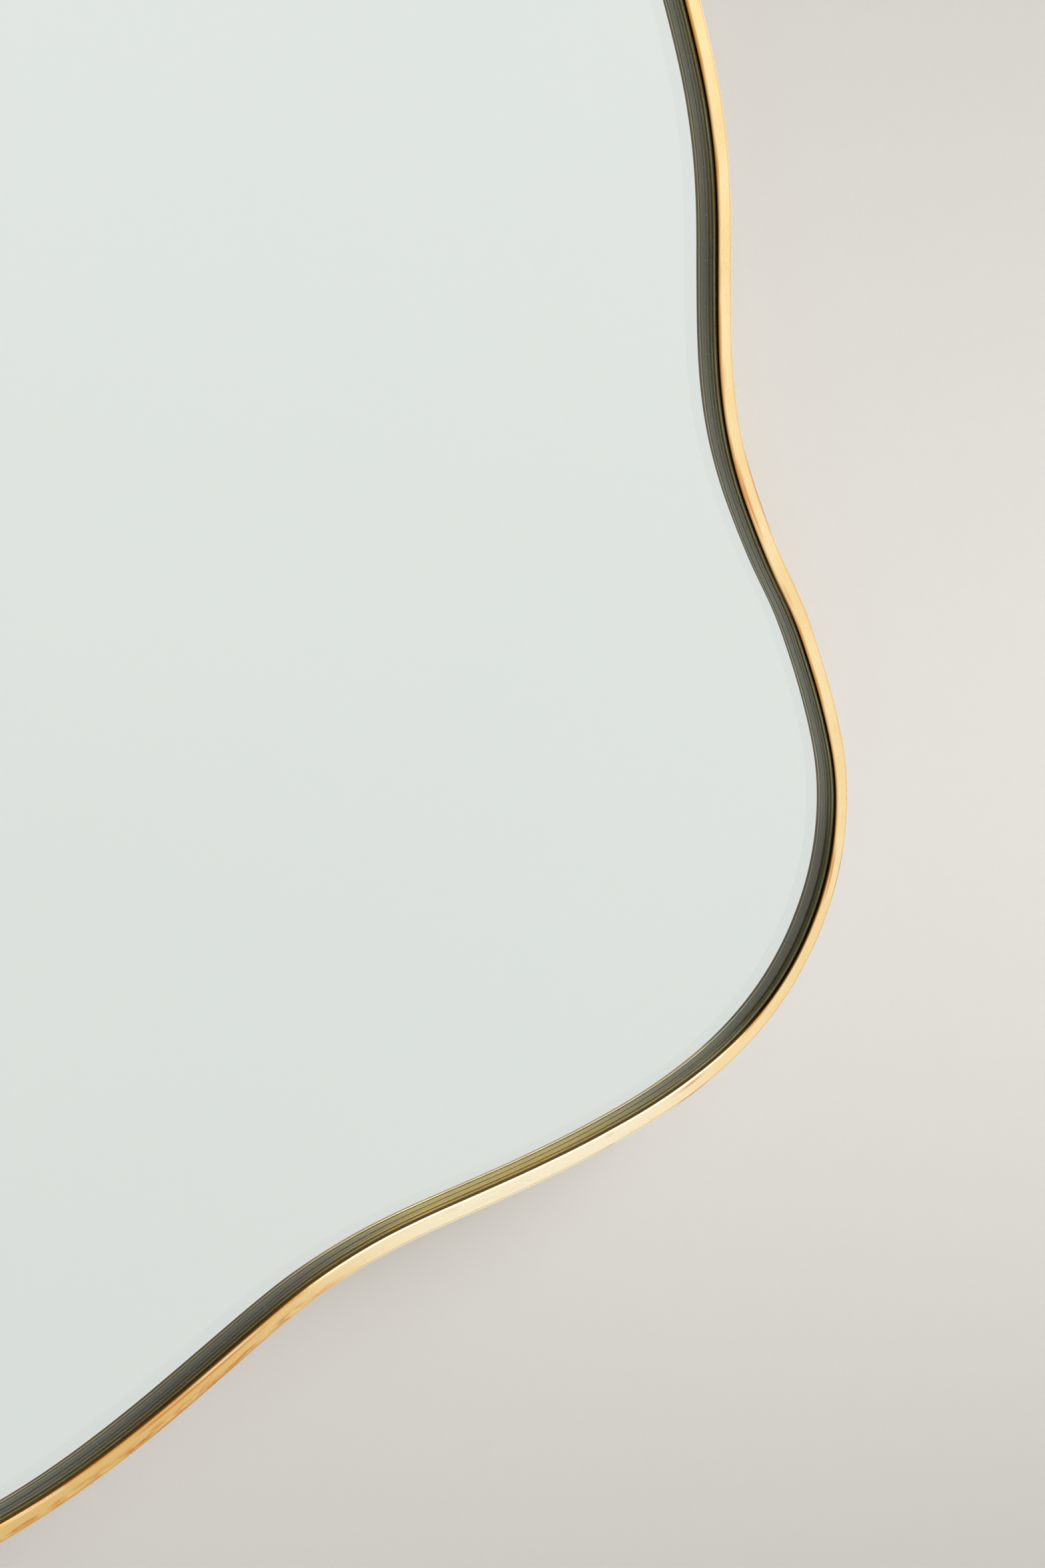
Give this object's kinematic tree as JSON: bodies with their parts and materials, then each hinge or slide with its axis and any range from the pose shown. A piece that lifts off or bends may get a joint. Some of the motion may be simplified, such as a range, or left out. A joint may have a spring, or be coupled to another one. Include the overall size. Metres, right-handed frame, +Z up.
{
  "type": "irregular wall mirror",
  "caption": "Free-form wavy wall mirror in a slim brass strip bent on edge, its glass set just below the strip's face, with a fibreboard back, tabs, bumpers and swinging ring hangers.",
  "frame": {"origin": "on the wall plane, midway between the points where the two wall hooks bear in the hanger rings", "axes": "+Z up the wall, front of the mirror towards -Y, wall at +Y, +X to the right as seen from the front"},
  "size_m": [0.4708, 0.024, 0.676],
  "materials": {
    "brass": "fine brushed across the strip's narrow front face, lightly tarnished, satin on the walls",
    "silvered_glass": "clear float glass silvered on its back face",
    "foam_tape": "white closed-cell foam tape",
    "fibreboard": "raw medium-density fibreboard",
    "zinc_plated_steel": "bright zinc plate",
    "rubber": "matt black rubber"
  },
  "bodies": {
    "mirror": {"frame_strip": "brass", "mirror_glass": "silvered_glass", "mounting_tape_1": "foam_tape", "mounting_tape_2": "foam_tape", "mounting_tape_3": "foam_tape", "mounting_tape_4": "foam_tape", "mounting_tape_5": "foam_tape", "backing_board": "fibreboard", "fixing_tab_1": "brass", "fixing_tab_2": "brass", "fixing_tab_3": "brass", "fixing_tab_4": "brass", "fixing_tab_5": "brass", "fixing_tab_6": "brass", "tab_screw_1": "zinc_plated_steel", "tab_screw_2": "zinc_plated_steel", "tab_screw_3": "zinc_plated_steel", "tab_screw_4": "zinc_plated_steel", "tab_screw_5": "zinc_plated_steel", "tab_screw_6": "zinc_plated_steel", "hanger_strap_left": "zinc_plated_steel", "hanger_strap_right": "zinc_plated_steel", "hanger_screw_1": "zinc_plated_steel", "hanger_screw_2": "zinc_plated_steel", "hanger_screw_3": "zinc_plated_steel", "hanger_screw_4": "zinc_plated_steel", "wall_bumper_1": "rubber", "wall_bumper_2": "rubber", "wall_bumper_3": "rubber", "wall_bumper_4": "rubber"},
    "ring_left": {"hanger_ring_left": "zinc_plated_steel"},
    "ring_right": {"hanger_ring_right": "zinc_plated_steel"}
  },
  "joints": [
    {"name": "ring_left_swing", "type": "hinge", "parent": "mirror", "child": "ring_left", "pos_m": [-0.07, -0.005, -0.0125], "axis": [-1, 0, 0], "range_deg": [-5, 170]},
    {"name": "ring_right_swing", "type": "hinge", "parent": "mirror", "child": "ring_right", "pos_m": [0.07, -0.005, -0.0125], "axis": [-1, 0, 0], "range_deg": [-5, 170]}
  ]
}
